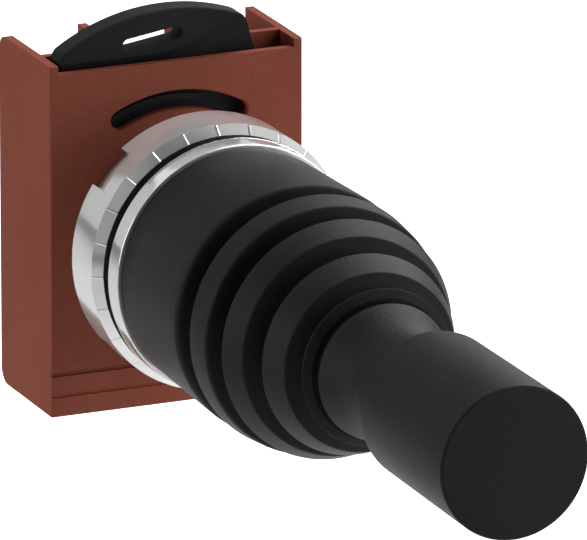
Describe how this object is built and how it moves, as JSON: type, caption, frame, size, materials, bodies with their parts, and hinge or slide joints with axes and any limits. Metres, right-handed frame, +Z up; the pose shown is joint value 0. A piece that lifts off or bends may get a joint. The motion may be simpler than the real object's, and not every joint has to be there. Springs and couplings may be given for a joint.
{
  "type": "industrial joystick",
  "caption": "Panel-mounted industrial joystick: black hand grip in a ribbed rubber boot, bright ring nut, and a red-brown adapter housing with a leaf-shaped lock lever.",
  "frame": {"origin": "where the joystick's axis meets the plane of the panel's front face, on the rear face of the gasket", "axes": "+Y backwards through the panel along the joystick's axis, the handle points to -Y; +Z up, towards the lock lever; +X right as the operator sees it"},
  "size_m": [0.0304, 0.1062, 0.0451],
  "materials": {
    "bezel_metal": "satin-polished plated zinc",
    "nut_metal": "bright plated zinc",
    "boot_rubber": "matt moulded rubber",
    "gasket_rubber": "matt rubber",
    "grip_plastic": "fine-grained black plastic",
    "lever_plastic": "fine-grained black plastic",
    "housing_plastic": "fine-grained red-brown plastic",
    "guide_plastic": "natural acetal",
    "steel": "turned steel",
    "spring_steel": "drawn wire",
    "brass": "turned brass"
  },
  "bodies": {
    "operator": {"bezel_barrel": "bezel_metal", "gasket": "gasket_rubber", "panel_nut": "nut_metal", "adapter_housing": "housing_plastic", "boot": "boot_rubber", "gate_plate": "steel", "plunger_guide": "guide_plastic", "spring_top": "spring_steel", "spring_bottom": "spring_steel", "spring_left": "spring_steel", "spring_right": "spring_steel"},
    "gimbal": {"gimbal_ring": "steel", "trunnion_pin_right": "steel", "trunnion_pin_left": "steel", "stick_pin": "steel"},
    "stick": {"stick_shaft": "steel", "swash_plate": "steel", "swash_clip": "spring_steel", "lock_nut": "steel", "boot_washer": "steel", "grip": "grip_plastic", "grip_insert": "brass"},
    "lever": {"lock_lever": "lever_plastic"},
    "push_top": {"plunger_top": "guide_plastic"},
    "push_bottom": {"plunger_bottom": "guide_plastic"},
    "push_left": {"plunger_left": "guide_plastic"},
    "push_right": {"plunger_right": "guide_plastic"}
  },
  "joints": [
    {"name": "tilt_up_down", "type": "hinge", "parent": "operator", "child": "gimbal", "pos_m": [0, 0.002, 0], "axis": [1, 0, 0], "range_deg": [-14, 14], "stiffness_Nm_per_rad": 1.6, "deforming": ["boot"]},
    {"name": "tilt_left_right", "type": "hinge", "parent": "gimbal", "child": "stick", "pos_m": [0, 0.002, 0], "axis": [0, 0, 1], "range_deg": [-14, 14], "stiffness_Nm_per_rad": 1.6, "deforming": ["boot"]},
    {"name": "lock_turn", "type": "hinge", "parent": "operator", "child": "lever", "pos_m": [0, 0.0157, 0], "axis": [0, 1, 0], "range_deg": [0, 11.5]},
    {"name": "push_top_slide", "type": "slide", "parent": "operator", "child": "push_top", "axis": [0, 1, 0], "range_m": [-0.00147, 0.00147], "deforming": ["spring_top"]},
    {"name": "push_bottom_slide", "type": "slide", "parent": "operator", "child": "push_bottom", "axis": [0, 1, 0], "range_m": [-0.00147, 0.00147], "deforming": ["spring_bottom"]},
    {"name": "push_left_slide", "type": "slide", "parent": "operator", "child": "push_left", "axis": [0, 1, 0], "range_m": [-0.00147, 0.00147], "deforming": ["spring_left"]},
    {"name": "push_right_slide", "type": "slide", "parent": "operator", "child": "push_right", "axis": [0, 1, 0], "range_m": [-0.00147, 0.00147], "deforming": ["spring_right"]}
  ],
  "couplings": [
    {"joint": "push_top_slide", "follows": "tilt_up_down", "m_per_rad": -0.006},
    {"joint": "push_bottom_slide", "follows": "tilt_up_down", "m_per_rad": 0.006},
    {"joint": "push_left_slide", "follows": "tilt_left_right", "m_per_rad": -0.006},
    {"joint": "push_right_slide", "follows": "tilt_left_right", "m_per_rad": 0.006}
  ]
}
